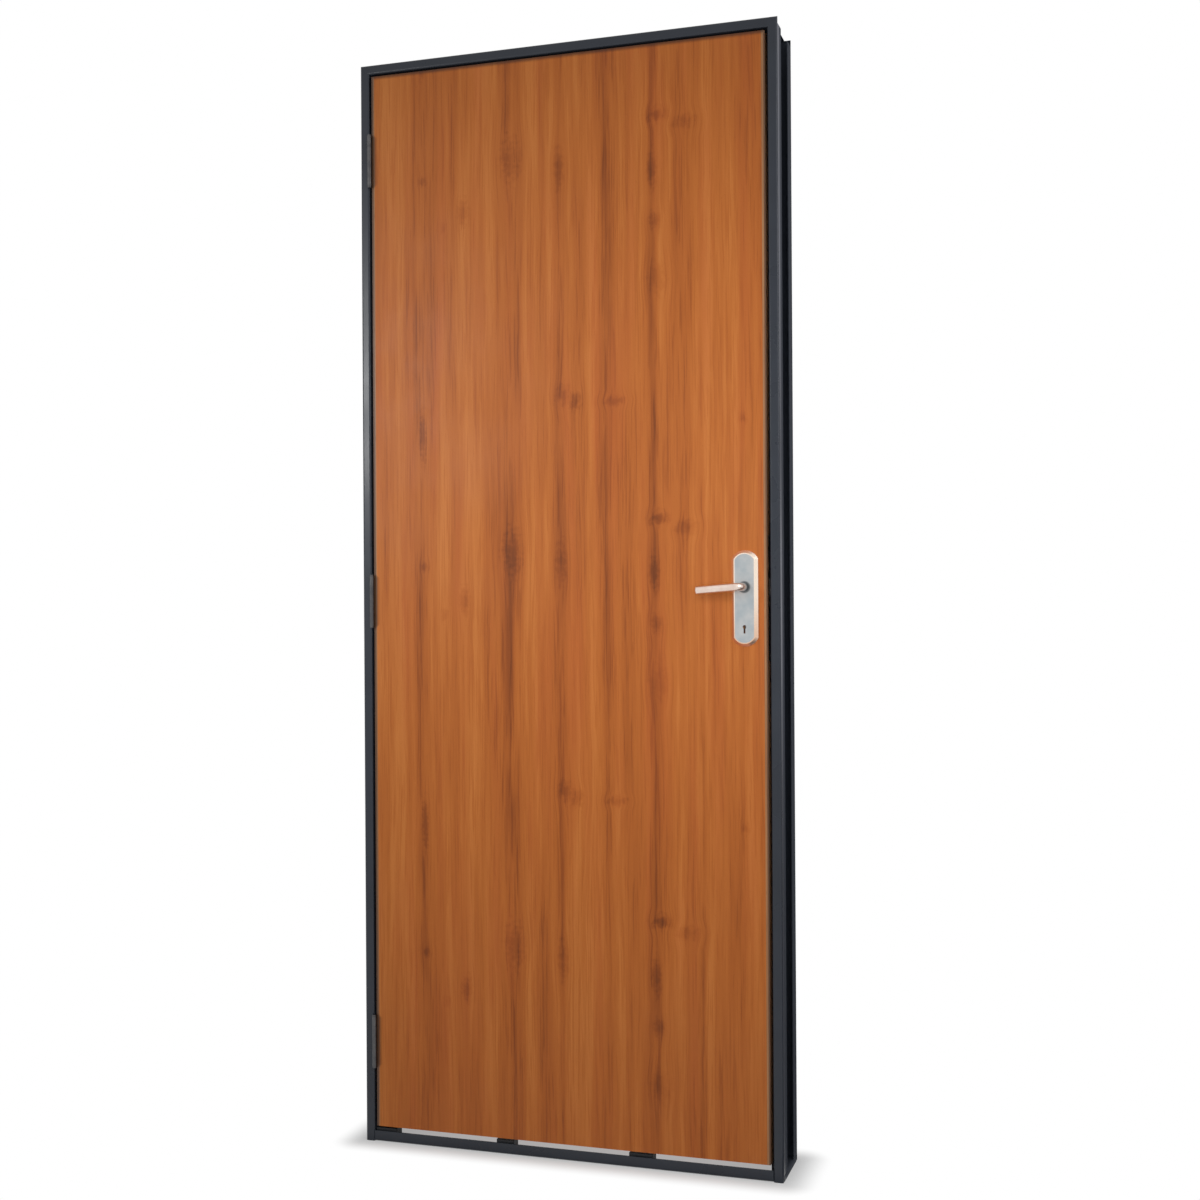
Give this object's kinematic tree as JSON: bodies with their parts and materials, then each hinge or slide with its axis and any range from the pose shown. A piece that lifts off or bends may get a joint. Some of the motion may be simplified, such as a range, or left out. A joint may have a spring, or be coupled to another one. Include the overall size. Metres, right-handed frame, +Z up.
{
  "type": "flush door in steel frame",
  "caption": "Flush wooden door leaf with veneered faces, hung on butt hinges in a pressed-steel frame with a sill bar, with lever handles and a mortice lock.",
  "frame": {"origin": "on the floor under the sill bar, at the middle of the width and of the leaf's thickness", "axes": "+Z up, +X from the hinge side to the lock side, +Y through the doorway away from the pull side; the leaf opens toward -Y"},
  "size_m": [0.848, 0.1945, 2.155],
  "materials": {
    "frame_paint": "dark blue-grey semi-gloss paint on pressed steel",
    "galvanised_steel": "bare zinc-coated sheet",
    "packer_plastic": "matt black moulded plastic",
    "buffer_rubber": "matt black rubber",
    "veneer": "reddish-brown straight-grained veneer under satin lacquer",
    "lipping_wood": "paler lacquered solid wood",
    "softwood": "planed softwood",
    "core_board": "pressed chip filling",
    "satin_chrome": "satin-plated metal with bright bevels",
    "hinge_steel": "dull steel",
    "lock_steel": "brushed steel"
  },
  "bodies": {
    "frame": {"jamb_hinge_side": "frame_paint", "jamb_lock_side": "frame_paint", "head": "frame_paint", "sill_bar": "frame_paint", "foot_plate_hinge_side": "frame_paint", "foot_plate_lock_side": "frame_paint", "strike_plate": "lock_steel", "strike_box": "galvanised_steel", "packer_left": "packer_plastic", "packer_middle": "packer_plastic", "packer_right": "packer_plastic", "buffer_bottom": "buffer_rubber", "buffer_middle": "buffer_rubber", "buffer_top": "buffer_rubber", "hinge_bottom_jamb_half": "hinge_steel", "hinge_middle_jamb_half": "hinge_steel", "hinge_top_jamb_half": "hinge_steel"},
    "leaf": {"skin_front": "veneer", "skin_back": "veneer", "lipping_hinge_edge": "lipping_wood", "lipping_lock_edge": "lipping_wood", "stile_hinge_side": "softwood", "stile_lock_side": "softwood", "top_rail": "softwood", "bottom_rail": "softwood", "core": "core_board", "lock_case": "lock_steel", "lock_forend": "lock_steel", "latch_bolt": "lock_steel", "dead_bolt": "lock_steel", "backplate_front": "satin_chrome", "backplate_back": "satin_chrome", "hinge_bottom_leaf_half": "hinge_steel", "hinge_middle_leaf_half": "hinge_steel", "hinge_top_leaf_half": "hinge_steel", "hinge_bottom_pin": "hinge_steel", "hinge_middle_pin": "hinge_steel", "hinge_top_pin": "hinge_steel"},
    "handle": {"lever_front": "satin_chrome", "lever_back": "satin_chrome", "spindle": "lock_steel"}
  },
  "joints": [
    {"name": "door_swing", "type": "hinge", "parent": "frame", "child": "leaf", "pos_m": [-0.4025, -0.025, 1.081], "axis": [0, 0, -1], "range_deg": [0, 170]},
    {"name": "lever_turn", "type": "hinge", "parent": "leaf", "child": "handle", "pos_m": [0.358, 0, 1.101], "axis": [0, -1, 0], "range_deg": [0, 40], "stiffness_Nm_per_rad": 1.6, "springref_deg": -20.05}
  ]
}
